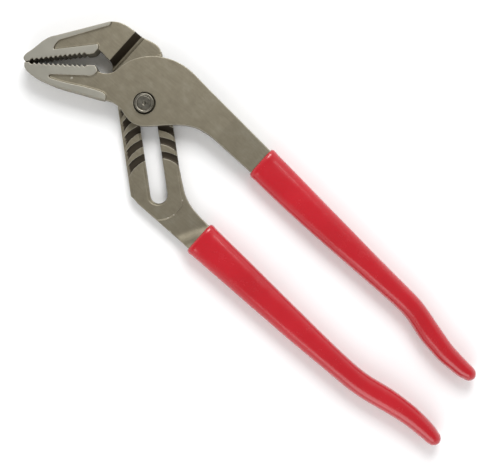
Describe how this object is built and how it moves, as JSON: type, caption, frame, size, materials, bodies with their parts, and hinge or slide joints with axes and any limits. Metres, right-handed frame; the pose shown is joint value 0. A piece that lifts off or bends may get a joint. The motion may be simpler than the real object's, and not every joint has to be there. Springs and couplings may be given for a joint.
{
  "type": "tongue and groove pliers",
  "caption": "Slip-joint water pump pliers: toothed angled jaws, a slotted grooved bar with a sliding pivot, and long handles with dipped plastic grips.",
  "frame": {"origin": "on the pivot axis at the first setting, at the flat back of the pivot bolt's head, which the tool rests on", "axes": "+X from the pivot to the handle tails, +Y towards the upper handle, +Z out of the front face, along the pivot"},
  "size_m": [0.3065, 0.0738, 0.0159],
  "materials": {
    "forged_steel": "satin, ground and lightly tarnished",
    "pivot_steel": "polished",
    "dipped_plastic": "glossy red dipped vinyl"
  },
  "bodies": {
    "slotted_lever": {"slotted_jaw_lever": "forged_steel", "lower_handle_grip": "dipped_plastic"},
    "pivot": {"pivot_bolt": "pivot_steel", "pivot_nut": "pivot_steel"},
    "pinned_lever": {"pinned_jaw_lever": "forged_steel", "upper_handle_grip": "dipped_plastic"}
  },
  "joints": [
    {"name": "jaw_setting", "type": "slide", "parent": "slotted_lever", "child": "pivot", "axis": [0.7716, -0.6361, 0], "range_m": [0, 0.0468]},
    {"name": "handle_hinge", "type": "hinge", "parent": "pivot", "child": "pinned_lever", "pos_m": [0, 0, 0], "axis": [0, 0, 1], "range_deg": [0, 52]}
  ]
}
